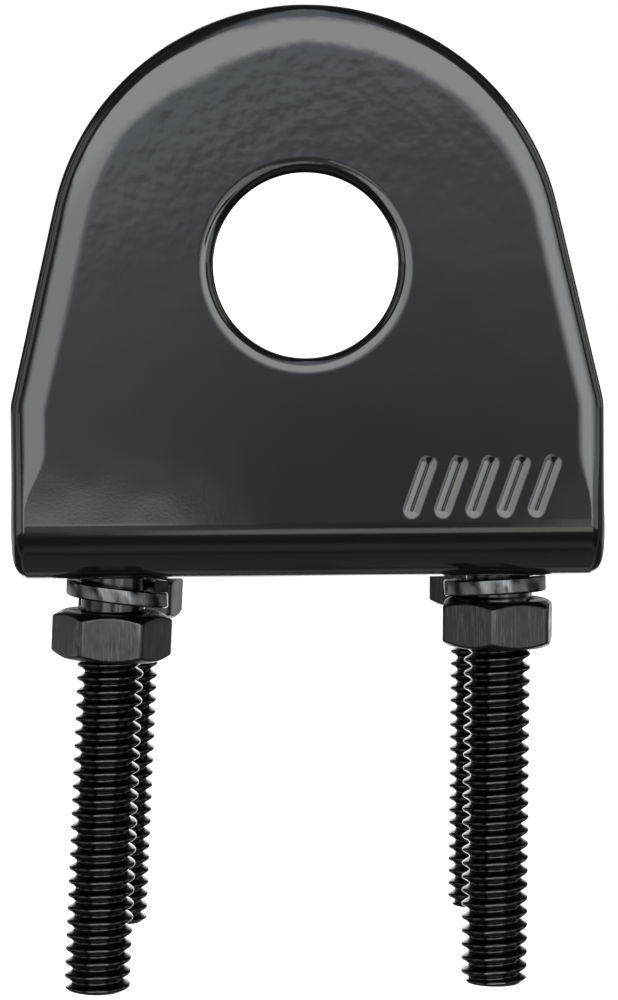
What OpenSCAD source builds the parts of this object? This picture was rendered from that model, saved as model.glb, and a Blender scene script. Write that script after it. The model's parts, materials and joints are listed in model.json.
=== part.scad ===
// U-bolt antenna mounting bracket: one bent sheet, two U-bolts, four spring washers and four hex nuts.
// Millimetres. The origin is the middle of the U-bolt pattern on top of the base plate, where a rail sits.
// +Z is up, the tab's front face looks along -Y, and the rail runs along X.

/* [Sheet] */
// Width of the bracket across the front
plate_w = 53.35; // [50:0.05:60]
// Thickness of the sheet
sheet_t = 4; // [4:0.5:5]
// Outside radius of the bend between the tab and the base plate
bend_r = 5.5; // [5.5:0.5:7]
// Rounding of the outside edges
edge_r = 2; // [1:0.25:2]
// Distance from the middle of the U-bolt pattern to the tab's front face
tab_front = 29.5; // [29:0.5:34]
// Distance from the middle of the U-bolt pattern to the rear edge
base_rear = 27.5; // [26:0.5:32]
// Radius of the base plate's rear corners, seen from above
corner_r = 4; // [3:0.5:6]

/* [Tab] */
// Radius of the tab's round top
tab_r = 23.1; // [22:0.1:24]
// Height of the centre of the round top above the base plate
tab_centre_z = 24.6; // [24:0.05:30]
// Slope of the tab's sides, in degrees from upright
tab_taper = 13.2; // [11:0.05:14]
// Diameter of the antenna hole
antenna_hole_d = 16.5; // [12:0.1:20]
// Height of the antenna hole's centre above the base plate
antenna_hole_z = 24.4; // [23:0.1:30]
// Rounding of the hole's front rim
rim_r = 1.3; // [0.5:0.1:1.5]

/* [Stamped mark] */
// Width of one plain slanted bar of the mark
mark_bar_w = 1.6; // [1.2:0.1:2]
// Height of the mark
mark_h = 6; // [4:0.5:7]
// Number of bars in the mark
mark_bars = 5; // [1:1:5]
// Depth of the mark
mark_depth = 0.3; // [0.2:0.1:0.8]

/* [U-bolts] */
// Distance between the two U-bolts
u_bolt_spacing = 36; // [35:0.5:38]
// Distance between the two legs of a U-bolt
leg_spacing = 38; // [36:0.5:40]
// Diameter of the plain rod
rod_d = 5.9; // [5:0.05:6]
// Outside diameter of the thread
thread_d = 6.15; // [6:0.05:6.35]
// Height of the bow's highest point, on its inside, above the base plate
bow_inside_z = 31.8; // [24:0.1:34]
// Diameter of the clearance holes in the base plate
leg_hole_d = 7.5; // [7.3:0.1:8]
// Chamfer at the end of each leg
leg_chamfer = 0.6; // [0.3:0.1:1]
// Heights of the left U-bolt's front and rear leg ends
left_leg_ends = [-43.05, -43.7]; // [-50:0.1:-40]
// Heights of the right U-bolt's front and rear leg ends
right_leg_ends = [-42.55, -42.3]; // [-50:0.1:-40]

/* [Nuts and washers] */
// Nut size across its flats
nut_af = 9.8; // [9:0.1:11.2]
// Nut height
nut_h = 4.4; // [4:0.1:5]
// Radial room between the thread's outside and the nut's bore
nut_clearance = 0.12; // [0.08:0.01:0.2]
// Height of the underside of the left nuts
left_nut_z = -11.9; // [-14:0.1:-11.9]
// Height of the underside of the right nuts
right_nut_z = -11; // [-14:0.1:-11]
// Spring washer outside diameter
washer_od = 9.5; // [9:0.1:10]
// Spring washer inside diameter
washer_id = 6.9; // [6.9:0.05:7]
// Spring washer thickness
washer_t = 1.5; // [1:0.1:1.5]
// Width of the gap in the spring washer
washer_gap = 0.8; // [0.4:0.1:1.2]

/* [Looseness at rest] */
// How far the left U-bolt leans, in degrees, with its top towards +X
left_lean = 3.1; // [-3:0.1:3]
// How far the right U-bolt leans, in degrees, with its top towards +X
right_lean = 0.9; // [-3:0.1:3]
// How far the left U-bolt turns about its own upright axis, in degrees
left_turn = 0.1; // [-1:0.1:1]
// How far the right U-bolt turns about its own upright axis, in degrees
right_turn = -0.4; // [-1:0.1:1]
// Sideways play of the left U-bolt in its holes
left_shift = 0.1; // [-0.3:0.05:0.3]
// Sideways play of the right U-bolt in its holes
right_shift = -0.25; // [-0.3:0.05:0.3]

/* [Hidden] */
$fn = 96;

COATED = [0.06, 0.06, 0.065];
OXIDE = [0.09, 0.09, 0.09];

bend_y = -tab_front + bend_r;
bend_z = -sheet_t + bend_r;
half_w = plate_w / 2;
// height at which the tab's tapered sides touch its round top, and how far they stand inside it there
side_top_z = tab_centre_z + tab_r * sin(tab_taper);
side_step = 0.02;
rod_r = rod_d / 2;
thread_r = thread_d / 2;
leg_y = leg_spacing / 2;
// where the straight leg ends and the half-circle of the bow begins
bow_centre_z = bow_inside_z - (leg_y - rod_r);
// the U-bolts lean about a point halfway through the base plate
pivot_z = -sheet_t / 2;
// each nut is run up to the last turn of its thread
thread_runout = 0.4;
LEFT = -1;
RIGHT = 1;
FRONT = -1;
REAR = 1;

function lean(side) = side == LEFT ? left_lean : right_lean;
function turn(side) = side == LEFT ? left_turn : right_turn;
function shift(side) = side == LEFT ? left_shift : right_shift;
function nut_z(side) = side == LEFT ? left_nut_z : right_nut_z;
function leg_end(side, end) = (side == LEFT ? left_leg_ends : right_leg_ends)[end == FRONT ? 0 : 1];

// ---- bracket ----

// Section across half the sheet, `w` wide. The outside face lies on the first axis, with its far edge rounded.
module half_section(w) {
    square([w - edge_r, sheet_t]);
    translate([0, edge_r]) square([w, sheet_t - edge_r]);
    translate([w - edge_r, edge_r]) circle(edge_r);
}

// Section across the whole sheet
module full_section() {
    half_section(half_w);
    mirror([1, 0]) half_section(half_w);
}

// The round top of the tab, above the height where its sides leave it
module tab_top() {
    intersection() {
        translate([0, -tab_front, tab_centre_z]) rotate([-90, 0, 0])
            rotate_extrude() half_section(tab_r);
        translate([-plate_w, -tab_front - 1, side_top_z])
            cube([2 * plate_w, sheet_t + 2, 2 * tab_r]);
    }
}

// Everything on the inner side of the tab's right tapered side
module taper_side() {
    reach = 3 * tab_r;
    translate([0, -tab_front, tab_centre_z]) rotate([0, -tab_taper, 0])
        linear_extrude(2 * reach, center = true) {
            half_section(tab_r - side_step);
            translate([-reach, 0]) square([reach, sheet_t]);
        }
}

// The flat of the tab below its round top, down to the bend
module tab_sides() {
    intersection() {
        translate([0, -tab_front, bend_z]) linear_extrude(side_top_z - bend_z) full_section();
        taper_side();
        mirror([1, 0, 0]) taper_side();
    }
}

module bend() {
    translate([0, bend_y, bend_z]) rotate([90, 0, 90]) rotate([0, 0, 180])
        rotate_extrude(angle = 90) translate([bend_r, 0]) rotate(90) full_section();
}

module base_plate() {
    corner_y = base_rear - corner_r;
    translate([0, corner_y, -sheet_t]) rotate([90, 0, 0])
        linear_extrude(corner_y - bend_y) full_section();
    translate([-half_w + corner_r, corner_y, -sheet_t]) rotate([90, 0, 90])
        linear_extrude(plate_w - 2 * corner_r) half_section(corner_r);
    for (s = [LEFT, RIGHT])
        translate([s * (half_w - corner_r), corner_y, -sheet_t])
            rotate([0, 0, s == RIGHT ? 0 : 90]) rotate_extrude(angle = 90) half_section(corner_r);
}

// The antenna hole's cutter, flared into a round rim at the front
module antenna_hole_cut() {
    r = antenna_hole_d / 2;
    translate([0, -tab_front, antenna_hole_z]) rotate([-90, 0, 0]) {
        translate([0, 0, -1]) cylinder(r = r, h = sheet_t + 2);
        rotate_extrude() difference() {
            translate([0, -1]) square([r + rim_r, rim_r + 1]);
            translate([r + rim_r, rim_r]) circle(rim_r);
        }
    }
}

// Plain slanted bars with round ends, pressed into the tab's front face
module mark_cut() {
    pitch = 1.75 * mark_bar_w;
    slant = 20;
    right_end = half_w - 4.6 - mark_bar_w / 2;
    for (i = [0 : mark_bars - 1])
        translate([right_end - i * pitch, -tab_front + mark_depth, 4.5])
            rotate([90, slant, 0]) linear_extrude(mark_depth + 1) {
                square([mark_bar_w, mark_h - mark_bar_w], center = true);
                for (e = [-1, 1])
                    translate([0, e * (mark_h - mark_bar_w) / 2]) circle(mark_bar_w / 2);
            }
}

module bracket() {
    color(COATED) difference() {
        union() {
            tab_top();
            tab_sides();
            bend();
            base_plate();
        }
        antenna_hole_cut();
        mark_cut();
        for (s = [LEFT, RIGHT], e = [FRONT, REAR])
            translate([s * u_bolt_spacing / 2, e * leg_y, -sheet_t - 1])
                cylinder(d = leg_hole_d, h = sheet_t + 2);
    }
}

// ---- U-bolts and what rides on their legs ----

// Puts a U-bolt, or what sits on it, where it hangs loose in its holes
module on_u_bolt(side) {
    translate([side * u_bolt_spacing / 2 + shift(side), 0, pivot_z])
        rotate([0, lean(side), 0]) rotate([0, 0, turn(side)])
            translate([0, 0, -pivot_z]) children();
}

// One leg, as the outline that is turned about the leg's own axis
module leg(end_z, thread_top_z) {
    rotate_extrude() polygon([
        [0, end_z],
        [thread_r - leg_chamfer, end_z],
        [thread_r, end_z + leg_chamfer],
        [thread_r, thread_top_z],
        [rod_r, thread_top_z + thread_r - rod_r],
        [rod_r, bow_centre_z],
        [0, bow_centre_z]
    ]);
}

module u_bolt(side) {
    color(OXIDE) on_u_bolt(side) {
        translate([0, 0, bow_centre_z]) rotate([90, 0, 90])
            rotate_extrude(angle = 180) translate([leg_y, 0]) circle(rod_r);
        for (e = [FRONT, REAR])
            translate([0, e * leg_y, 0]) leg(leg_end(side, e), nut_z(side) + nut_h + thread_runout);
    }
}

// A split ring lying loose between the nut and the base plate. `off_x` is its sideways play, `centre_z` its
// height, `tilt` its turns about X and then Y, in degrees, and `split` its gap's direction, in degrees from +X.
module spring_washer(side, end, off_x, centre_z, tilt, split) {
    color(OXIDE) on_u_bolt(side) translate([off_x, end * leg_y, centre_z])
        rotate([tilt[0], tilt[1], 0]) difference() {
            cylinder(d = washer_od, h = washer_t, center = true);
            cylinder(d = washer_id, h = washer_t + 1, center = true);
            rotate([0, 0, split]) translate([washer_od / 2, 0, 0]) rotate([30, 0, 0])
                cube([washer_od, washer_gap, 2 * washer_t], center = true);
        }
}

// A hex nut, chamfered at both ends. `corner` is the direction of one corner, in degrees from +X.
module nut(side, end, corner) {
    corner_r = nut_af / 2 / cos(30);
    face_r = 0.93 * nut_af / 2;
    chamfer_h = (corner_r - face_r) * tan(30);
    bore_r = thread_r + nut_clearance;
    color(OXIDE) on_u_bolt(side) translate([0, end * leg_y, nut_z(side)]) difference() {
        intersection() {
            rotate([0, 0, corner]) cylinder(r = corner_r, h = nut_h, $fn = 6);
            rotate_extrude() polygon([
                [0, 0], [face_r, 0], [corner_r, chamfer_h],
                [corner_r, nut_h - chamfer_h], [face_r, nut_h], [0, nut_h]
            ]);
        }
        translate([0, 0, -1]) cylinder(r = bore_r, h = nut_h + 2);
        for (z = [0, nut_h]) translate([0, 0, z]) mirror([0, 0, z == 0 ? 0 : 1])
            rotate_extrude() polygon([
                [0, -1], [bore_r + 1.4, -1], [bore_r, 0.4], [0, 0.4]
            ]);
    }
}

module left_u_bolt() { u_bolt(LEFT); }
module right_u_bolt() { u_bolt(RIGHT); }

module front_left_washer() { spring_washer(LEFT, FRONT, 0.3, -5.5, [-1.5, 2.5], 3); }
module rear_left_washer() { spring_washer(LEFT, REAR, 0, -5.9, [1, 2], 140); }
module front_right_washer() { spring_washer(RIGHT, FRONT, -0.25, -5.42, [-2.5, -4], 180); }
module rear_right_washer() { spring_washer(RIGHT, REAR, 0, -5.4, [-2, 1], 60); }

module front_left_nut() { nut(LEFT, FRONT, -58); }
module rear_left_nut() { nut(LEFT, REAR, -101); }
module front_right_nut() { nut(RIGHT, FRONT, -97); }
module rear_right_nut() { nut(RIGHT, REAR, -103); }

bracket();
left_u_bolt();
right_u_bolt();
front_left_washer();
front_left_nut();
rear_left_washer();
rear_left_nut();
front_right_washer();
front_right_nut();
rear_right_washer();
rear_right_nut();
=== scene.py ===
"""U-bolt antenna mounting bracket: detailed meshes, finishes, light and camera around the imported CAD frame.

Shapes are worked out in millimetres, in the CAD's own axes, and scaled to metres when a mesh is made.
"""

import json
import math

import bmesh
import bpy
import numpy as np
from mathutils import Matrix, Vector


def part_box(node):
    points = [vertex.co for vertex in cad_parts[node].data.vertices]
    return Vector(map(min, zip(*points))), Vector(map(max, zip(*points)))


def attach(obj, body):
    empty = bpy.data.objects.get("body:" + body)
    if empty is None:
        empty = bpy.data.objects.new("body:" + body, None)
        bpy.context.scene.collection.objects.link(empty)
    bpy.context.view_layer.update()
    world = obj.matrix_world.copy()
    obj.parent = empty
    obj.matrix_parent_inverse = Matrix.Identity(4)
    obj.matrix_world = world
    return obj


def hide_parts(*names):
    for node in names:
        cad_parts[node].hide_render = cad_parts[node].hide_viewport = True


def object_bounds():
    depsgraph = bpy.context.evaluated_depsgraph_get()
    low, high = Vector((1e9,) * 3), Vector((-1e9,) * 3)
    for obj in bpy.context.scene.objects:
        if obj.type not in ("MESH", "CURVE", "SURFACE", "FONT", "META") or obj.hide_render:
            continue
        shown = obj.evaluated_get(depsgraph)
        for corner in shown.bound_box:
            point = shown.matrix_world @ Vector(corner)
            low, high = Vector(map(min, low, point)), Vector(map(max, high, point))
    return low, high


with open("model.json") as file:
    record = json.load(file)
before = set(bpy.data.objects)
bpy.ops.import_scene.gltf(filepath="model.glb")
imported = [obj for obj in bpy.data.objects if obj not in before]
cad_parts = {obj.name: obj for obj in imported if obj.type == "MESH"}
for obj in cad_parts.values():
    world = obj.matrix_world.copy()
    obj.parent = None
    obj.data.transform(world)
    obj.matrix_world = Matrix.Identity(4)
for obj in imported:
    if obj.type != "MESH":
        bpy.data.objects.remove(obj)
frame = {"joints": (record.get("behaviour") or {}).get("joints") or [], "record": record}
cad_low, cad_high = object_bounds()

MM = 0.001
TAU = 2 * math.pi
X_AXIS = Vector((1, 0, 0))
HEX_HALF_ANGLE = math.radians(30)

# ---- the sheet, in mm ----
SHEET_T = 4.0
BEND_R = 5.5
TAB_R = 23.1
TAB_TAPER = math.radians(13.2)
SIDE_CORNER_R = 6.0
REAR_CORNER_R = 4.0
LEG_HOLE_R = 3.75
BACK_EDGE_R = 0.35
# each edge is a soft roll-over that tightens towards the side: (radius, tilt at its end in degrees)
SHEET_EDGE = ((8.2, 17), (1.45, 90))
BEND_EDGE = ((0.6, 17), (1.65, 90))
# how much wider or narrower the tab's roll-over is, by the direction its edge faces, in degrees from +X
# towards up
EDGE_WIDTHS = ((13, 0.77), (35, 0.98), (60, 1.16), (90, 1.15), (118, 1.45), (145, 1.12), (167, 1.02))
# the tab's edge turns into the bend's over this stretch, in mm along the sheet. It is negative because it
# lies on the tab, before the bend's start
EDGE_CHANGE = (-6.5, -1.0)
# the bend bulges sideways by this much, fading out this far to each side of it
BEND_BULGE = 0.12
BULGE_FADE = 6.0
HOLE_RIM = ((2.7, 17), (1.0, 90))
LEG_HOLE_RIM = ((0.6, 90),)

# ---- how finely the sheet is divided ----
TAB_STEPS = 60
SIDE_CORNER_STEPS = 6
SIDE_STEPS = 8
BEND_STEPS = 24
BASE_STEPS = 10
REAR_CORNER_STEPS = 16
HOLE_SIDES = 128
LEG_HOLE_SIDES = 64
EDGE_ARC_STEPS = 7
BACK_EDGE_STEPS = 4
MARK_WALL_STEPS = 4
MARK_CREASE_STEPS = 5

# ---- the stamped mark: plain slanted bars ----
MARK_BARS = 5
MARK_BAR_W = 1.6
MARK_H = 6.0
MARK_PITCH = 1.75 * MARK_BAR_W
MARK_SLANT = math.radians(20)
MARK_Z = 4.5
MARK_SIDE_GAP = 4.6
# each bar is a shallow V groove with a crease along its middle
MARK_WALL = ((1.2, 13), (9.0, 16), (0.12, 55))
MARK_CREASE_R = 0.12
MARK_SOFTNESS = 0.08

# ---- U-bolts, in mm ----
U_BOLT_X = 18.0
LEG_Y = 19.0
SHANK_R = 2.95
BOW_CENTRE_Z = 15.75
BOW_STEPS = 40
STRAIGHT_STEPS = 7
ROD_SIDES = 64
PIVOT_Z = -2.0
PITCH = 1.27
CREST_R = 3.075
ROOT_R = 2.385
THREAD_END = 0.4
THREAD_RUNOUT = 1.3
# one turn of thread as (part of a pitch, radius), crest at 0 and root at a half
THREAD_PROFILE = (
    (0.0, CREST_R), (0.07, 3.062), (0.13, 3.0), (0.18, 2.91), (0.31, 2.64), (0.41, 2.45), (0.455, 2.4),
    (0.5, ROOT_R), (0.545, 2.4), (0.59, 2.45), (0.69, 2.64), (0.82, 2.91), (0.87, 3.0), (0.93, 3.062),
)

# ---- nuts and washers, in mm ----
NUT_AF = 9.8
NUT_H = 4.4
NUT_CORNER_R = 0.65
NUT_FACE_R = 0.93 * NUT_AF / 2
NUT_MINOR_R = 2.58
NUT_THREAD_ROOM = 0.05
NUT_MOUTH_R = 3.35
NUT_CHAMFER = math.radians(30)
NUT_EDGE_R = 0.16
NUT_LEAST_CUT = 0.02
WASHER_MEAN_R = 4.1
WASHER_WIDTH = 1.3
WASHER_T = 1.5
WASHER_GAP = 0.8
WASHER_GAP_SLANT = math.radians(30)
WASHER_EDGE_R = 0.2
WASHER_STEPS = 120
WASHER_SHARP = math.radians(50)

# what differs from leg to leg: the end's height and chamfer, the thread's start, one nut corner, and the
# washer's middle height, rise over its turn, tilts (mm at its rim) and split direction; angles in degrees
LEGS = {
    "front_left": dict(end=-43.05, chamfer=0.25, start=145, corner=-58,
                       washer=dict(x=0.35, z=-5.52, rise=0.98, a=-0.47, b=-0.12, split=3)),
    "rear_left": dict(end=-43.7, chamfer=0.45, start=47, corner=-101,
                      washer=dict(x=0, z=-5.9, rise=0.7, a=-0.1, b=0.1, split=140)),
    "front_right": dict(end=-42.55, chamfer=0.5, start=77, corner=-97,
                        washer=dict(x=-0.3, z=-5.4, rise=0.1, a=0.24, b=-0.25, split=180)),
    "rear_right": dict(end=-42.3, chamfer=0.45, start=21, corner=-103,
                       washer=dict(x=0, z=-5.4, rise=0.5, a=-0.1, b=-0.1, split=60)),
}
SIDES = ("left", "right")
ENDS = ("front", "rear")


# ---- mesh building ----

class Shell:
    """The points (mm) and faces of one closed mesh, with a normal for each point if it is known."""

    def __init__(self):
        self.points = []
        self.normals = []
        self.faces = []
        self.fills = []

    def loop(self, points, normals=()):
        """Adds points and returns their numbers."""
        first = len(self.points)
        self.points.extend(points)
        self.normals.extend(normals)
        return list(range(first, len(self.points)))

    def face(self, corners):
        """Adds a face, without corners that repeat."""
        kept = [c for i, c in enumerate(corners) if c != corners[i - 1]]
        if len(kept) > 2:
            self.faces.append(kept)

    def skin(self, loop_a, loop_b, closed=True):
        """Joins two loops of equal length with quads."""
        count = len(loop_a)
        for i in range(count if closed else count - 1):
            j = (i + 1) % count
            self.face([loop_a[i], loop_a[j], loop_b[j], loop_b[i]])

    def fan(self, loop, centre):
        """Closes a loop with triangles round a middle point."""
        middle = self.loop([centre])[0]
        for i, corner in enumerate(loop):
            self.face([corner, loop[(i + 1) % len(loop)], middle])

    def fill(self, *loops):
        """Marks a flat region bounded by these loops, the first outside and the others holes."""
        self.fills.append(loops)

    def object(self, name, placement=Matrix.Identity(4)):
        """Makes the Blender object, with smooth shading."""
        bm = bmesh.new()
        verts = [bm.verts.new((placement @ Vector(p)) * MM) for p in self.points]
        for corners in self.faces:
            bm.faces.new([verts[c] for c in corners])
        for loops in self.fills:
            edges = []
            for numbers in loops:
                for a, b in zip(numbers, numbers[1:] + numbers[:1]):
                    pair = (verts[a], verts[b])
                    edges.append(bm.edges.get(pair) or bm.edges.new(pair))
            bmesh.ops.triangle_fill(bm, use_beauty=True, use_dissolve=False, edges=edges)
        bmesh.ops.recalc_face_normals(bm, faces=bm.faces)
        for face in bm.faces:
            face.smooth = True
        mesh = bpy.data.meshes.new(name)
        bm.to_mesh(mesh)
        bm.free()
        if self.normals:
            mesh.normals_split_custom_set_from_vertices([tuple(n) for n in self.normals])
        made = bpy.data.objects.new(name, mesh)
        bpy.context.scene.collection.objects.link(made)
        return made


def weigh_normals(obj):
    """Keeps large flat faces flat where they meet narrow rounded edges."""
    modifier = obj.modifiers.new("weighted_normals", "WEIGHTED_NORMAL")
    modifier.weight = 50
    modifier.keep_sharp = True


def roll_over(arcs, steps=EDGE_ARC_STEPS):
    """An edge that starts flat and turns over through arcs, as (inset from the side, depth, tilt) rows."""
    rows = []
    inset = sum(r * (math.sin(math.radians(end)) - math.sin(start))
                for (r, end), start in zip(arcs, [0] + [math.radians(a[1]) for a in arcs]))
    depth = 0.0
    start = 0.0
    rows.append((inset, depth, start))
    for radius, end_degrees in arcs:
        end = math.radians(end_degrees)
        for i in range(steps):
            a = start + (end - start) * i / steps
            b = start + (end - start) * (i + 1) / steps
            inset -= radius * (math.sin(b) - math.sin(a))
            depth += radius * (math.cos(a) - math.cos(b))
            rows.append((inset, depth, b))
        start = end
    return rows


def round_path(path, radius, steps=3):
    """Rounds the inner corners of an open path of 2-D points."""
    out = [path[0]]
    for before, corner, after in zip(path, path[1:], path[2:]):
        before, corner, after = Vector(before), Vector(corner), Vector(after)
        room_in = min(radius, 0.45 * (corner - before).length)
        room_out = min(radius, 0.45 * (after - corner).length)
        start = corner + (before - corner).normalized() * room_in
        end = corner + (after - corner).normalized() * room_out
        for i in range(steps + 1):
            t = i / steps
            out.append(tuple(start * (1 - t) ** 2 + corner * 2 * t * (1 - t) + end * t * t))
    out.append(path[-1])
    return out


# ---- bracket ----

bracket_low, bracket_high = (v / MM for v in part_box("bracket"))
HALF_W = bracket_high.x
TAB_FRONT_Y = bracket_low.y
REAR_Y = bracket_high.y
BEND_Y = TAB_FRONT_Y + BEND_R
BEND_Z = bracket_low.z + BEND_R
TAB_CENTRE_Z = bracket_high.z - TAB_R
BEND_LENGTH = BEND_R * math.pi / 2
REAR_S = BEND_LENGTH + REAR_Y - BEND_Y


def sheet_directions(s):
    """The outward and onward directions of the sheet, `s` mm down its front face from the bend's start."""
    angle = min(max(s, 0) / BEND_R, math.pi / 2)
    outward = Vector((0, -math.cos(angle), -math.sin(angle)))
    onward = Vector((0, math.sin(angle), -math.cos(angle)))
    return outward, onward


def on_sheet(x, s, depth):
    """A point of the flat sheet, bent into place."""
    outward, onward = sheet_directions(s)
    beyond_bend = min(s, 0) + max(s - BEND_LENGTH, 0)
    return (X_AXIS * x + Vector((0, BEND_Y, BEND_Z))
            + outward * (BEND_R - depth) + onward * beyond_bend)


def sheet_normal(s, nx, ns, tilt):
    """The sheet's normal where its edge faces (nx, ns) and has turned over by `tilt`."""
    outward, onward = sheet_directions(s)
    return (X_AXIS * nx + onward * ns) * math.sin(tilt) + outward * math.cos(tilt)


def arc(cx, cs, radius, start, end, steps, inside=False):
    """Outline points on an arc as (x, s, nx, ns), angles in radians from +X towards the tab's top."""
    turn = -1 if inside else 1
    points = []
    for i in range(steps + 1):
        a = start + (end - start) * i / steps
        x, s = math.cos(a), -math.sin(a)
        points.append((cx + radius * x, cs + radius * s, turn * x, turn * s))
    return points


def right_half_outline():
    """The sheet's outline from the tab's top, down the right side, to the middle of the rear edge."""
    top_s = BEND_Z - TAB_CENTRE_Z
    side_x, side_s = TAB_R * math.cos(TAB_TAPER), top_s - TAB_R * math.sin(TAB_TAPER)
    taper_length = (HALF_W - side_x) / math.sin(TAB_TAPER)
    corner_s = side_s + taper_length * math.cos(TAB_TAPER)
    fillet_s = corner_s + SIDE_CORNER_R * math.tan(TAB_TAPER / 2)
    points = arc(0, top_s, TAB_R, math.pi / 2, TAB_TAPER, TAB_STEPS)
    points += arc(HALF_W - SIDE_CORNER_R, fillet_s, SIDE_CORNER_R, TAB_TAPER, 0, SIDE_CORNER_STEPS)
    straight = [fillet_s * (1 - i / SIDE_STEPS) for i in range(1, SIDE_STEPS)]
    straight += [BEND_LENGTH * i / BEND_STEPS for i in range(BEND_STEPS + 1)]
    corner_s = REAR_S - REAR_CORNER_R
    base_length = corner_s - BEND_LENGTH
    straight += [BEND_LENGTH + base_length * i / BASE_STEPS for i in range(1, BASE_STEPS)]
    for s in straight:
        t = min(max((s + BULGE_FADE) / (BEND_LENGTH + 2 * BULGE_FADE), 0), 1)
        points.append((HALF_W + BEND_BULGE * math.sin(math.pi * t) ** 2, s, 1, 0))
    points += arc(HALF_W - REAR_CORNER_R, corner_s, REAR_CORNER_R, 0, -math.pi / 2, REAR_CORNER_STEPS)
    points.append((0, REAR_S, 0, 1))
    return points


def whole_outline():
    """The sheet's outline all the way round, its left half mirrored from the right one."""
    right = right_half_outline()
    left = [(-x, s, -nx, ns) for x, s, nx, ns in reversed(right[1:-1])]
    return right + left


def stadium(cx, cs, half_w, half_h, slant, steps=12):
    """A slanted bar with round ends, its normals pointing inwards."""
    points = []
    up = Vector((math.sin(slant), -math.cos(slant)))
    for end, start in ((1, 0), (-1, math.pi)):
        for i in range(steps + 1):
            a = start + math.pi * i / steps - slant
            x, s = math.cos(a), -math.sin(a)
            points.append((cx + end * up.x * (half_h - half_w) + half_w * x,
                           cs + end * up.y * (half_h - half_w) + half_w * s, -x, -s))
    return points


def band(shell, outline, rows_at):
    """Lays an edge's profile round an outline and returns the loop of each row.

    `rows_at` gives the rows of the profile at a place on the outline.
    """
    columns = [rows_at(*place) for place in outline]
    loops = []
    for row in range(len(columns[0])):
        points = []
        normals = []
        for (x, s, nx, ns), column in zip(outline, columns):
            inset, depth, tilt = column[row]
            points.append(on_sheet(x - inset * nx, s - inset * ns, depth))
            normals.append(sheet_normal(s, nx, ns, tilt))
        loops.append(shell.loop(points, normals))
    for loop_a, loop_b in zip(loops, loops[1:]):
        shell.skin(loop_a, loop_b)
    return loops


def sheet_edge(x, s, nx, ns):
    """The sheet's edge profile at a place on its outline: wide round the tab, tight round the rest."""
    facing = math.degrees(math.atan2(-ns, nx))
    width = float(np.interp(facing, *zip(*EDGE_WIDTHS)))
    t = min(max((s - EDGE_CHANGE[0]) / (EDGE_CHANGE[1] - EDGE_CHANGE[0]), 0), 1)
    t = t * t * (3 - 2 * t)
    arcs = [(soft * width * (1 - t) + tight * t, end)
            for (soft, end), (tight, _) in zip(SHEET_EDGE, BEND_EDGE)]
    return through_edge(arcs, BACK_EDGE_R)


def through_edge(front_arcs, back_radius):
    """The profile of an edge that goes right through the sheet, from its outside face to its inside face."""
    rows = roll_over(front_arcs)
    for inset, depth, tilt in reversed(roll_over(((back_radius, 90),), BACK_EDGE_STEPS)):
        rows.append((inset, SHEET_T - depth, math.pi - tilt))
    return rows


def mark_wall():
    """The wall of a pressed bar, from the face down to the crease along its middle."""
    steep = math.radians(MARK_WALL[-1][1])
    reach = MARK_CREASE_R * math.sin(steep)
    rows = [(inset + reach, depth, tilt) for inset, depth, tilt in roll_over(MARK_WALL, MARK_WALL_STEPS)]
    wall_depth = rows[-1][1]
    for tilt in np.linspace(steep, 0, MARK_CREASE_STEPS + 1)[1:]:
        drop = MARK_CREASE_R * (math.cos(tilt) - math.cos(steep))
        rows.append((MARK_CREASE_R * math.sin(tilt), wall_depth + drop, tilt))
    return rows


def build_bracket():
    """The bent sheet: its edges, holes and pressed bars first, then the faces between them."""
    shell = Shell()
    outline = whole_outline()
    edge = band(shell, outline, sheet_edge)
    hole_mount = next(m for m in frame["record"]["mounts"] if m["name"] == "antenna_hole")
    hole_s = BEND_Z - hole_mount["pos_m"][2] / MM
    hole_r = hole_mount["dims"]["r_mm"]
    hole_edge = through_edge(HOLE_RIM, BACK_EDGE_R)
    circle = arc(0, hole_s, hole_r, 0, TAU, HOLE_SIDES, inside=True)[:-1]
    hole = band(shell, circle, lambda *_: hole_edge)
    leg_holes = []
    leg_hole_edge = through_edge(LEG_HOLE_RIM, BACK_EDGE_R)
    for side in SIDES:
        for end in ENDS:
            x, s = leg_hole_place(side, end)
            circle = arc(x, s, LEG_HOLE_R, 0, TAU, LEG_HOLE_SIDES, inside=True)[:-1]
            leg_holes.append(band(shell, circle, lambda *_: leg_hole_edge))
    marks = []
    wall = mark_wall()
    margin = MARK_SOFTNESS - wall[0][0]
    for i in range(MARK_BARS):
        x = HALF_W - MARK_SIDE_GAP - MARK_BAR_W / 2 - i * MARK_PITCH
        bar = stadium(x, BEND_Z - MARK_Z, MARK_BAR_W / 2 + margin, MARK_H / 2 + margin, MARK_SLANT)
        walls = band(shell, bar, lambda *_: wall)
        marks.append(walls)
        shell.fill(walls[-1])

    # the loops' points are numbered alike, so the bend's steps are found once
    on_bend = [i for i, point in enumerate(outline) if 0 <= point[1] <= BEND_LENGTH + 1e-6]
    right = [i for i in on_bend if outline[i][0] > 0]
    left = [i for i in on_bend if outline[i][0] < 0][::-1]
    for face, loop in (("outer", edge[0]), ("inner", edge[-1])):
        for a, b, c, d in zip(right, right[1:], left[1:], left):
            shell.face([loop[a], loop[b], loop[c], loop[d]])
        row = 0 if face == "outer" else -1
        tab = loop[left[0]:] + loop[:right[0] + 1]
        base = loop[right[-1]:left[-1] + 1]
        tab_holes = [hole[row]] + ([m[0] for m in marks] if face == "outer" else [])
        shell.fill(tab, *tab_holes)
        shell.fill(base, *[h[row] for h in leg_holes])
    return shell.object("bracket_coated")


def leg_hole_place(side, end):
    """The middle of a clearance hole, as (x, s) on the flat sheet."""
    x = (-1 if side == "left" else 1) * U_BOLT_X
    y = (-1 if end == "front" else 1) * LEG_Y
    return x, BEND_LENGTH + y - BEND_Y


# ---- U-bolts, nuts and washers ----

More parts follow.
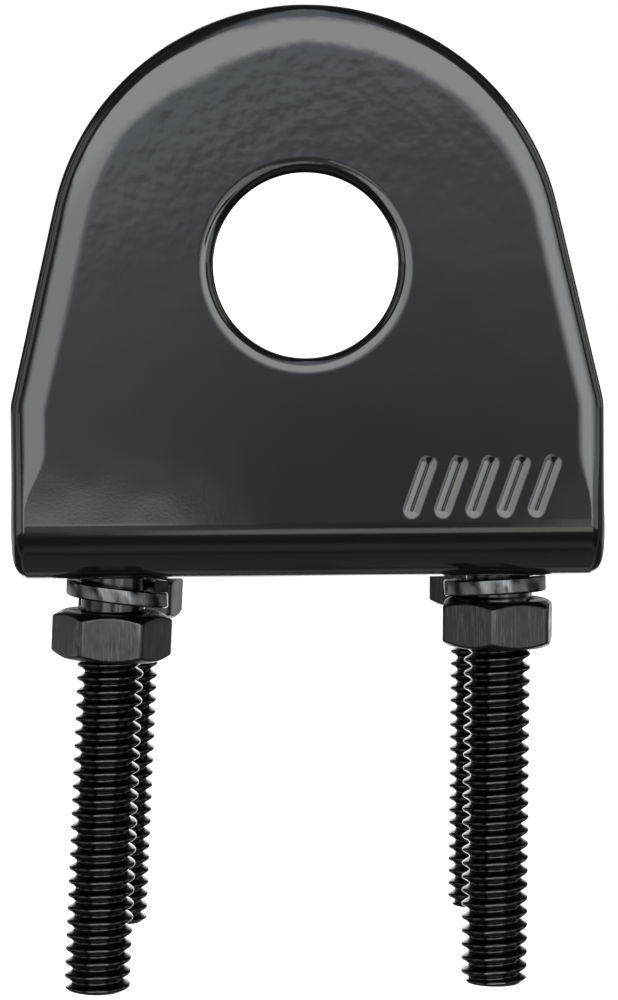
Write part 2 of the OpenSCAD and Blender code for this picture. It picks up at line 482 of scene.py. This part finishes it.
hinges = {j["child"]: j for j in frame["joints"] if j["type"] == "hinge"}


def u_bolt_placement(side):
    """Where a U-bolt hangs at rest, read from the joints of its two nuts, as a matrix in mm."""
    front = Vector(hinges[f"front_{side}_nut"]["pos_m"]) / MM
    rear = Vector(hinges[f"rear_{side}_nut"]["pos_m"]) / MM
    up = Vector(hinges[f"front_{side}_nut"]["axis"]).normalized()
    back = (rear - front).normalized()
    across = back.cross(up)
    middle = (front + rear) / 2
    pivot = middle + up * ((PIVOT_Z - middle.z) / up.z)
    rotation = Matrix((across, back, up)).transposed().to_4x4()
    nut_middle_z = PIVOT_Z + (middle - pivot).dot(up)
    return Matrix.Translation(pivot - up * PIVOT_Z) @ rotation, nut_middle_z - NUT_H / 2


def thread_radius(angle, z):
    """The radius of the right-hand thread at an angle about the leg and a height."""
    phase = (z / PITCH - angle / TAU) % 1
    parts = [p for p, _ in THREAD_PROFILE] + [1]
    radii = [r for _, r in THREAD_PROFILE] + [THREAD_PROFILE[0][1]]
    return float(np.interp(phase, parts, radii))


def helix_wall(shell, angles, low, high, start, radius_at, centre_y):
    """A threaded wall between two heights. Its rows follow the thread, and its end rings are level."""
    close = 0.02
    count = len(angles)
    handed = 1 if angles[1] > angles[0] else -1
    per_turn = len(THREAD_PROFILE)

    def point(angle, z):
        r = radius_at(angle - start, z)
        return Vector((r * math.cos(angle), centre_y + r * math.sin(angle), z))

    bottom = shell.loop([point(a, low) for a in angles])
    top = shell.loop([point(a, high) for a in angles])
    first = math.floor(low / PITCH) - 2
    last = math.ceil(high / PITCH) + 2
    row_heights = [PITCH * (turn + part) for turn in range(first, last) for part, _ in THREAD_PROFILE]
    columns = []
    for i, angle in enumerate(angles):
        column = []
        for height in row_heights:
            z = height + PITCH * (angle - start) / TAU
            if z <= low + close:
                column.append(bottom[i])
            elif z >= high - close:
                column.append(top[i])
            else:
                column.append(shell.loop([point(angle, z)])[0])
        columns.append(column)
    shift = handed * per_turn
    wrapped = [columns[0][min(max(k + shift, 0), len(row_heights) - 1)] for k in range(len(row_heights))]
    for left, right in zip(columns, columns[1:] + [wrapped]):
        for k in range(len(row_heights) - 1):
            shell.face([left[k], right[k], right[k + 1], left[k + 1]])
    return bottom, top


def leg_radius(end_z, chamfer, top_z):
    """The radius of a leg's thread, cut back at the end and running out into the plain shank."""
    def radius(angle, z):
        r = thread_radius(angle, z)
        run = min(max((z - (top_z - THREAD_RUNOUT)) / THREAD_RUNOUT, 0), 1)
        r += (SHANK_R - r) * run * run * (3 - 2 * run)
        return min(r, CREST_R - chamfer + (z - end_z))
    return radius


def rod_ring(shell, y, z, turn):
    """One ring of the plain rod, `turn` radians round the bow from the front leg to the rear one."""
    inward = Vector((0, math.cos(turn), -math.sin(turn)))
    ring = []
    for i in range(ROD_SIDES):
        a = TAU * i / ROD_SIDES
        ring.append(Vector((0, y, z)) + (X_AXIS * math.cos(a) + inward * math.sin(a)) * SHANK_R)
    return shell.loop(ring)


def build_u_bolt(side):
    """Two threaded legs and the plain rod that joins them over the bow."""
    placement, nut_z = u_bolt_placement(side)
    shell = Shell()
    thread_top = nut_z + NUT_H + THREAD_END
    joins = {}
    for end, sign in (("front", 1), ("rear", -1)):
        leg = LEGS[f"{end}_{side}"]
        angles = [sign * TAU * i / ROD_SIDES for i in range(ROD_SIDES)]
        centre_y = -sign * LEG_Y
        radius_at = leg_radius(leg["end"], leg["chamfer"], thread_top)
        bottom, top = helix_wall(shell, angles, leg["end"], thread_top,
                                 math.radians(leg["start"]), radius_at, centre_y)
        shell.fan(bottom, (0, centre_y, leg["end"]))
        joins[end] = top
    rising = list(np.linspace(thread_top, BOW_CENTRE_Z, STRAIGHT_STEPS + 1)[1:-1])
    falling = list(np.linspace(BOW_CENTRE_Z, thread_top, STRAIGHT_STEPS + 1)[1:-1])
    rings = [joins["front"]]
    rings += [rod_ring(shell, -LEG_Y, z, 0) for z in rising]
    for i in range(BOW_STEPS + 1):
        turn = math.pi * i / BOW_STEPS
        y = -LEG_Y * math.cos(turn)
        z = BOW_CENTRE_Z + LEG_Y * math.sin(turn)
        rings.append(rod_ring(shell, y, z, turn))
    rings += [rod_ring(shell, LEG_Y, z, math.pi) for z in falling]
    rings.append(joins["rear"])
    for ring_a, ring_b in zip(rings, rings[1:]):
        shell.skin(ring_a, ring_b)
    made = shell.object(f"{side}_u_bolt_threaded", placement)
    weigh_normals(made)
    return made


def hexagon(corner):
    """The nut's outline with rounded corners, as (angle, radius) pairs going round once."""
    inner = NUT_AF / 2 - NUT_CORNER_R
    corner_distance = inner / math.cos(HEX_HALF_ANGLE)
    half_side = inner * math.tan(HEX_HALF_ANGLE)
    pairs = []
    for side in range(6):
        middle = corner + math.radians(30 + 60 * side)
        for t in np.linspace(-half_side, half_side, 7):
            pairs.append((middle + math.atan2(t, NUT_AF / 2), math.hypot(t, NUT_AF / 2)))
        at = middle + HEX_HALF_ANGLE
        for lean in np.radians([-20, -10, 0, 10, 20]):
            x = corner_distance + NUT_CORNER_R * math.cos(lean)
            y = NUT_CORNER_R * math.sin(lean)
            pairs.append((at + math.atan2(y, x), math.hypot(x, y)))
    return pairs


def build_nut(side, end):
    """A hex nut, chamfered at both ends, with the same thread as its leg."""
    placement, nut_z = u_bolt_placement(side)
    leg = LEGS[f"{end}_{side}"]
    centre_y = (-1 if end == "front" else 1) * LEG_Y
    top_z = nut_z + NUT_H
    shell = Shell()
    outline = hexagon(math.radians(leg["corner"]))
    angles = [a for a, _ in outline]

    def inner_radius(angle, z):
        r = max(thread_radius(angle, z) + NUT_THREAD_ROOM, NUT_MINOR_R)
        mouth = NUT_MOUTH_R - min(z - nut_z, top_z - z)
        return max(r, mouth)

    bottom, top = helix_wall(shell, angles, nut_z, top_z, math.radians(leg["start"]),
                             inner_radius, centre_y)
    columns = []
    for i, (angle, hex_r) in enumerate(outline):
        cut = max((hex_r - NUT_FACE_R) * math.tan(NUT_CHAMFER), NUT_LEAST_CUT)
        path = [(NUT_MOUTH_R, nut_z), (NUT_FACE_R, nut_z), (hex_r, nut_z + cut),
                (hex_r, top_z - cut), (NUT_FACE_R, top_z), (NUT_MOUTH_R, top_z)]
        path = round_path(path, NUT_EDGE_R)[1:-1]
        x, y = math.cos(angle), math.sin(angle)
        middle = shell.loop([Vector((r * x, centre_y + r * y, z)) for r, z in path])
        columns.append([bottom[i], *middle, top[i]])
    for a, b in zip(columns, columns[1:] + columns[:1]):
        shell.skin(a, b, closed=False)
    made = shell.object(f"{end}_{side}_nut_hex", placement)
    weigh_normals(made)
    return made


def washer_section(steps=4):
    """Points round the washer's section as (outwards, upwards), with rounded corners."""
    r = WASHER_EDGE_R
    points = []
    for quarter in range(4):
        sx = 1 if quarter in (0, 3) else -1
        sz = 1 if quarter in (0, 1) else -1
        for i in range(steps + 1):
            a = math.pi / 2 * (quarter + i / steps)
            out = sx * (WASHER_WIDTH / 2 - r) + r * math.cos(a)
            up = sz * (WASHER_T / 2 - r) + r * math.sin(a)
            points.append((out, up))
    return points


def build_washer(side, end):
    """A split spring washer, climbing round the leg from one side of its gap to the other."""
    placement, _ = u_bolt_placement(side)
    ring = LEGS[f"{end}_{side}"]["washer"]
    lean = placement.to_3x3() @ Vector((0, 0, 1))
    centre_y = (-1 if end == "front" else 1) * LEG_Y
    rim = WASHER_MEAN_R + WASHER_WIDTH / 2
    split = math.radians(ring["split"])
    section = washer_section()
    shell = Shell()
    loops = []
    for i in range(WASHER_STEPS + 1):
        part = i / WASHER_STEPS
        points = []
        for out, up in section:
            # the ends of the ring are cut on a slant, and a spring washer's ring climbs as it goes clockwise
            slant = up * math.tan(WASHER_GAP_SLANT)
            gap_start = (WASHER_GAP / 2 - slant) / WASHER_MEAN_R
            gap_end = (WASHER_GAP / 2 + slant) / WASHER_MEAN_R
            angle = split + gap_start + (TAU - gap_start - gap_end) * part
            r = WASHER_MEAN_R + out
            z = ring["z"] - ring["rise"] * (part - 0.5) + up
            z += (ring["a"] * math.cos(angle) + ring["b"] * math.sin(angle)) * r / rim
            z += r * math.cos(angle) * lean.x
            points.append(Vector((ring["x"] + r * math.cos(angle), centre_y + r * math.sin(angle), z)))
        loops.append(shell.loop(points))
    for loop_a, loop_b in zip(loops, loops[1:]):
        shell.skin(loop_a, loop_b)
    for loop in (loops[0], loops[-1]):
        shell.face(loop)
    made = shell.object(f"{end}_{side}_washer_split", placement)
    made.data.set_sharp_from_angle(angle=WASHER_SHARP)
    weigh_normals(made)
    return made


# ---- materials ----

# noise scales are per metre, and bump heights are in metres
COAT_DARK = (0.002, 0.002, 0.0023, 1)
COAT_LIGHT = (0.0034, 0.0033, 0.0034, 1)
COAT_ROUGHNESS = (0.05, 0.09)
PEEL_SCALE = 700
PEEL_BUMP = 27e-6
# the orange peel fades in between these heights, in metres
PEEL_FADE = (0.01, 0.05)
WAVE_SCALE = 150
WAVE_BUMP = 20e-6
GRAIN_SCALE = 4200
GRAIN_BUMP = 0.8e-6

DRAWN_ALONG_Z = (1, 1, 0.06)
DRAWN_SCALE = 2600
MOTTLE_SCALE = 700
PIT_SCALE = 5200
PIT_SHARE = 0.5
OXIDE_BUMP = 5e-6
# how dark and light the mottling goes, and how light the scratches are, as parts of the base colour
MOTTLE_SHADES = (0.7, 1.3)
SCRATCH_SHADE = 2.6
SCRATCH_SCALE = 5200
SCRATCH_SHARE = 0.3
# where Pointiness counts as an edge painted paler, partly as wear and partly as a painted highlight
EDGE_WEAR_AND_HIGHLIGHT = (0.53, 0.62)
# the paler edge colour and how much of it is laid on: partly wear, partly a painted highlight
EDGE_WEAR_AND_HIGHLIGHT_COLOUR = (0.24, 0.235, 0.23, 1)
EDGE_WEAR_AND_HIGHLIGHT_SHARE = 0.35


class Graph:
    """Short ways to add and join nodes."""

    def __init__(self, tree):
        self.tree = tree
        tree.nodes.clear()

    def node(self, kind, inputs=None, **settings):
        made = self.tree.nodes.new(kind)
        for key, value in settings.items():
            setattr(made, key, value)
        for key, value in (inputs or {}).items():
            self.put(made.inputs[key], value)
        return made

    def put(self, socket, value):
        if isinstance(value, bpy.types.NodeSocket):
            self.tree.links.new(value, socket)
        else:
            socket.default_value = value

    def math(self, operation, a, b=0.0):
        return self.node("ShaderNodeMath", {0: a, 1: b}, operation=operation).outputs[0]

    def smooth(self, value, low, high):
        """0 below low and 1 above high, with a smooth step between."""
        made = self.node("ShaderNodeMapRange", {"Value": value, "From Min": low, "From Max": high},
                         interpolation_type="SMOOTHSTEP")
        return made.outputs["Result"]

    def within(self, value, low, high, soft):
        """1 between low and high and 0 outside them, with soft borders."""
        return self.math("MULTIPLY", self.smooth(value, low - soft, low + soft),
                         self.smooth(value, high + soft, high - soft))

    def bump(self, height, distance, under=None):
        """A normal with relief of this height in metres, on top of the one `under` it."""
        made = self.node("ShaderNodeBump", {"Strength": 1.0, "Distance": distance, "Height": height})
        if under is not None:
            self.put(made.inputs["Normal"], under)
        return made.outputs[0]

    def noise(self, vector, scale, detail=2.0, roughness=0.5):
        made = self.node("ShaderNodeTexNoise", {"Vector": vector, "Scale": scale, "Detail": detail,
                                                "Roughness": roughness})
        return made.outputs["Fac"]

    def mix(self, factor, a, b):
        made = self.node("ShaderNodeMix", data_type="RGBA")
        self.put(made.inputs["Factor"], factor)
        for key, value in (("A", a), ("B", b)):
            socket = next(s for s in made.inputs if s.name == key and s.type == "RGBA")
            self.put(socket, value)
        return next(s for s in made.outputs if s.type == "RGBA")


def new_material(name):
    material = bpy.data.materials.new(name)
    material.use_nodes = True
    return material, Graph(material.node_tree)


def coated_steel():
    """Gloss black powder coat: a deep black base under a clear skin with orange peel and slow waves."""
    material, graph = new_material("coated_steel_look")
    place = graph.node("ShaderNodeTexCoord").outputs["Object"]
    peel = graph.noise(place, PEEL_SCALE, 1.5)
    grain = graph.noise(place, GRAIN_SCALE, 2.0)
    waves = graph.noise(place, WAVE_SCALE, 1.0)
    height = graph.node("ShaderNodeSeparateXYZ", {0: place}).outputs["Z"]
    rippled = graph.math("MULTIPLY", peel, graph.smooth(height, *PEEL_FADE))
    normal = graph.bump(rippled, PEEL_BUMP)
    normal = graph.bump(waves, WAVE_BUMP, normal)
    normal = graph.bump(grain, GRAIN_BUMP, normal)
    tint = graph.mix(waves, COAT_DARK, COAT_LIGHT)
    low, high = COAT_ROUGHNESS
    skin_roughness = graph.node("ShaderNodeMapRange", {"Value": grain, "To Min": low, "To Max": high})
    shader = graph.node("ShaderNodeBsdfPrincipled", {
        "Base Color": tint, "Roughness": 0.5, "Specular IOR Level": 0.1,
        "Coat Weight": 1.0, "Coat IOR": 1.5, "Coat Roughness": skin_roughness.outputs[0],
        "Normal": normal, "Coat Normal": normal,
    })
    graph.node("ShaderNodeOutputMaterial", {"Surface": shader.outputs[0]})
    return material


def black_oxide(name, streaks, base, roughness):
    """Blackened steel with drawn streaks and scratches along Z, a mottled finish, and edges painted paler,
    partly as wear and partly as a painted highlight.
    """
    material, graph = new_material(name)
    place = graph.node("ShaderNodeTexCoord").outputs["Object"]
    stretched = graph.node("ShaderNodeMapping", {"Vector": place, "Scale": DRAWN_ALONG_Z}).outputs[0]
    drawn = graph.noise(stretched, DRAWN_SCALE, 3.0, 0.6)
    mottle = graph.noise(place, MOTTLE_SCALE, 3.0, 0.6)
    pits = graph.noise(place, PIT_SCALE, 2.0, 0.7)
    height = graph.math("ADD", graph.math("MULTIPLY", drawn, streaks),
                        graph.math("MULTIPLY", pits, PIT_SHARE))
    normal = graph.bump(height, OXIDE_BUMP)
    # edges are painted paler where Pointiness is high: partly wear, partly a painted highlight
    edges = graph.smooth(graph.node("ShaderNodeNewGeometry").outputs["Pointiness"], *EDGE_WEAR_AND_HIGHLIGHT)
    edge_wear_and_highlight = graph.math("MULTIPLY", edges, graph.smooth(mottle, 0.35, 0.65))
    dark, light, scratched = ((*[c * shade for c in base], 1) for shade in (*MOTTLE_SHADES, SCRATCH_SHADE))
    tint = graph.mix(mottle, dark, light)
    scratches = graph.smooth(graph.noise(stretched, SCRATCH_SCALE, 2.0, 0.7), 0.52, 0.7)
    tint = graph.mix(graph.math("MULTIPLY", scratches, SCRATCH_SHARE * streaks), tint, scratched)
    tint = graph.mix(graph.math("MULTIPLY", edge_wear_and_highlight, EDGE_WEAR_AND_HIGHLIGHT_SHARE), tint, EDGE_WEAR_AND_HIGHLIGHT_COLOUR)
    rough = graph.node("ShaderNodeMapRange", {"Value": mottle, "From Min": 0.3, "From Max": 0.7,
                                              "To Min": roughness - 0.06, "To Max": roughness + 0.08})
    shader = graph.node("ShaderNodeBsdfPrincipled", {
        "Base Color": tint, "Metallic": 1.0, "Roughness": rough.outputs[0], "Normal": normal,
    })
    graph.node("ShaderNodeOutputMaterial", {"Surface": shader.outputs[0]})
    return material


def dress(obj, body, node, material):
    """Gives a piece its material, and lets it ride on a body in place of its CAD node."""
    obj.data.materials.append(material)
    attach(obj, body)
    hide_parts(node)


coat = coated_steel()
rod_finish = black_oxide("u_bolt_look", 0.6, (0.034, 0.034, 0.035), 0.2)
nut_finish = black_oxide("nut_look", 1.6, (0.040, 0.040, 0.041), 0.36)
washer_finish = black_oxide("washer_look", 0.8, (0.07, 0.07, 0.072), 0.22)

dress(build_bracket(), "bracket", "bracket", coat)
for side in SIDES:
    name = f"{side}_u_bolt"
    dress(build_u_bolt(side), name, name, rod_finish)
    for end in ENDS:
        name = f"{end}_{side}_washer"
        dress(build_washer(side, end), name, name, washer_finish)
        name = f"{end}_{side}_nut"
        dress(build_nut(side, end), name, name, nut_finish)


# ---- light, floor and camera ----

# soft panels round the object, as the object's gloss sees them: (azimuth from, to, elevation from, to,
# softness, colour, strength), in degrees, azimuth 0 towards the camera and 90 to the right
PANELS = (
    (-180, 180, -63, -49, 6, (1.0, 0.98, 0.94), 0.36),
    (-180, 180, -95, -68, 7, (1.0, 0.98, 0.92), 0.24),
    (-35, -9, -22, 35, 3, (0.95, 1.0, 0.96), 4.2),
    (13, 35, -22, 35, 7, (0.94, 1.0, 1.0), 5.8),
    (-35, 35, 8.5, 35, 4.5, (0.95, 1.0, 0.96), 5.6),
    (-3, 31, -28, -19, 2, (1.0, 0.99, 0.96), 2.2),
    (-6, -1.8, -21, -9.5, 3, (0.98, 0.98, 1.0), 0.9),
    (-6, -1.8, -9.5, -4.3, 0.3, (1.0, 0.98, 0.93), 2.9),
    (4.5, 14, -19, -5, 1.5, (1.0, 1.0, 1.0), 2.6),
    (-87, -46, -19, -2, 2, (1.0, 1.0, 1.0), 1.7),
    (37, 74, -19, -2, 2, (1.0, 1.0, 1.0), 1.7),
    (-149, -108, -19, -2, 3, (1.0, 1.0, 1.0), 1.0),
    (114, 149, -19, -2, 3, (1.0, 1.0, 1.0), 0.7),
    (18.5, 25.5, -21, -4.9, 0.8, (1.0, 1.0, 1.0), 0.05),
    (-45, -33, -21, -4.9, 0.8, (1.0, 1.0, 1.0), 0.05),
    (57, 118, -2, 33, 3, (1.0, 0.98, 0.94), 1.4),
    (-108, -57, -2, 33, 3, (1.0, 0.98, 0.94), 1.2),
    (83, 97, -90, 60, 2, (1.0, 1.0, 1.0), 0.25),
    (-97, -83, -90, 60, 2, (1.0, 1.0, 1.0), 0.25),
    (160, 200, -35, 35, 4, (1.0, 1.0, 1.0), 2.5),
    (-200, -160, -35, 35, 4, (1.0, 1.0, 1.0), 2.0),
)
# straight ahead the room is a gradient that gets lighter upwards. It fades in from the first to the second
# of these directions, in degrees
AHEAD_AZIMUTH = (40, 8)
AHEAD_ELEVATION = (-9, -5.5)
CENTRE_TOP = (1.55, 1.76, 1.95, 1)
CENTRE_MIDDLE = (0.76, 0.80, 0.88, 1)
CENTRE_LOW = (0.19, 0.19, 0.21, 1)
LOW_TO_MIDDLE = (-4.0, 1.2)
MIDDLE_TO_TOP = (1.0, 3.2)
# to the left of straight ahead the gradient sits this much lower for each degree
CENTRE_SLOPE = 0.6
DARK_ROOM = (0.035, 0.034, 0.032, 1)
WHITE = (1, 1, 1, 1)

# the floor's half width and its gap below the lowest reach of the legs, in mm
FLOOR_HALF = 3000.0
FLOOR_GAP = 0.5
FLOOR_DARK = (0.90, 0.90, 0.90, 1)
FLOOR_LIGHT = (0.93, 0.93, 0.93, 1)
FLOOR_GLOW = 0.8
FLOOR_GRAIN = 300

# the camera's place in mm, its lens and sensor in mm, and its turn, tip and roll in degrees
CAMERA_PLACE = (0.137, -353.9, 27.24)
CAMERA_LENS = 130.68
CAMERA_SENSOR = 36
CAMERA_TURN = 0.003
CAMERA_TIP = -4.196
CAMERA_ROLL = 0.499
# nearest and farthest that the camera sees, in metres
CAMERA_NEAR = 0.01
CAMERA_FAR = 20


def studio_world():
    """White to the camera; to the object, a dim room with soft panels."""
    world = bpy.data.worlds.new("studio")
    world.use_nodes = True
    bpy.context.scene.world = world
    graph = Graph(world.node_tree)
    direction = graph.node("ShaderNodeTexCoord").outputs["Generated"]
    split = graph.node("ShaderNodeSeparateXYZ", {0: direction})
    x, y, z = split.outputs
    degrees = 180 / math.pi
    azimuth = graph.math("MULTIPLY", graph.math("ARCTAN2", x, graph.math("MULTIPLY", y, -1.0)), degrees)
    elevation = graph.math("MULTIPLY", graph.math("ARCSINE", z), degrees)
    ahead = graph.math("MULTIPLY", graph.smooth(graph.math("ABSOLUTE", azimuth), *AHEAD_AZIMUTH),
                       graph.smooth(elevation, *AHEAD_ELEVATION))
    leftwards = graph.math("MULTIPLY", graph.math("MINIMUM", azimuth, 0.0), CENTRE_SLOPE)
    height = graph.math("SUBTRACT", elevation, leftwards)
    gradient = graph.mix(graph.smooth(height, *LOW_TO_MIDDLE), CENTRE_LOW, CENTRE_MIDDLE)
    gradient = graph.mix(graph.smooth(height, *MIDDLE_TO_TOP), gradient, CENTRE_TOP)
    colour = graph.mix(ahead, DARK_ROOM, gradient)
    for az_from, az_to, el_from, el_to, soft, tint, strength in PANELS:
        inside = graph.within(azimuth, az_from, az_to, soft)
        level = graph.within(elevation, el_from, el_to, soft)
        panel = (*[c * strength for c in tint], 1)
        colour = graph.mix(graph.math("MULTIPLY", inside, level), colour, panel)
    room = graph.node("ShaderNodeBackground", {"Color": colour, "Strength": 1.0})
    white = graph.node("ShaderNodeBackground", {"Color": WHITE, "Strength": 1.0})
    seen = graph.node("ShaderNodeLightPath").outputs["Is Camera Ray"]
    mixed = graph.node("ShaderNodeMixShader", {0: seen, 1: room.outputs[0], 2: white.outputs[0]})
    graph.node("ShaderNodeOutputWorld", {"Surface": mixed.outputs[0]})


def pale_floor(z):
    """A wide pale floor that only shows from above, so that the underside can be looked at too."""
    material, graph = new_material("pale_floor")
    paper = graph.noise(graph.node("ShaderNodeTexCoord").outputs["Object"], FLOOR_GRAIN, 2.0)
    tint = graph.mix(paper, FLOOR_DARK, FLOOR_LIGHT)
    matt = graph.node("ShaderNodeBsdfDiffuse", {"Color": tint})
    glow = graph.node("ShaderNodeEmission", {"Color": WHITE, "Strength": FLOOR_GLOW})
    lit = graph.node("ShaderNodeAddShader", {0: matt.outputs[0], 1: glow.outputs[0]})
    clear = graph.node("ShaderNodeBsdfTransparent")
    behind = graph.node("ShaderNodeNewGeometry").outputs["Backfacing"]
    mixed = graph.node("ShaderNodeMixShader", {0: behind, 1: lit.outputs[0], 2: clear.outputs[0]})
    graph.node("ShaderNodeOutputMaterial", {"Surface": mixed.outputs[0]})
    half = FLOOR_HALF
    shell = Shell()
    shell.face(shell.loop([(-half, -half, z), (half, -half, z), (half, half, z), (-half, half, z)]))
    floor = shell.object("floor")
    floor.data.materials.append(material)
    floor.visible_glossy = False
    floor.visible_diffuse = False


def photo_camera():
    """The camera straight in front of the tab, level with its hole and tipped down a little."""
    data = bpy.data.cameras.new("camera")
    data.sensor_width = CAMERA_SENSOR
    data.lens = CAMERA_LENS
    data.clip_start = CAMERA_NEAR
    data.clip_end = CAMERA_FAR
    camera = bpy.data.objects.new("camera", data)
    bpy.context.scene.collection.objects.link(camera)
    aim = (Matrix.Rotation(math.radians(CAMERA_TURN), 3, "Z")
           @ Matrix.Rotation(math.radians(CAMERA_TIP), 3, "X")
           @ Matrix.Rotation(math.radians(CAMERA_ROLL), 3, "Y"))
    right, forward, up = aim.transposed()
    turn = Matrix((right, up, -forward)).transposed().to_4x4()
    camera.matrix_world = Matrix.Translation(Vector(CAMERA_PLACE) * MM) @ turn
    bpy.context.scene.camera = camera


studio_world()
slides = [j for j in frame["joints"] if j["child"].endswith("u_bolt")]
drop = max(-j["range_m"][0] for j in slides)
pale_floor((cad_low.z - drop) / MM - FLOOR_GAP)
photo_camera()
bpy.context.scene.view_settings.view_transform = "Standard"
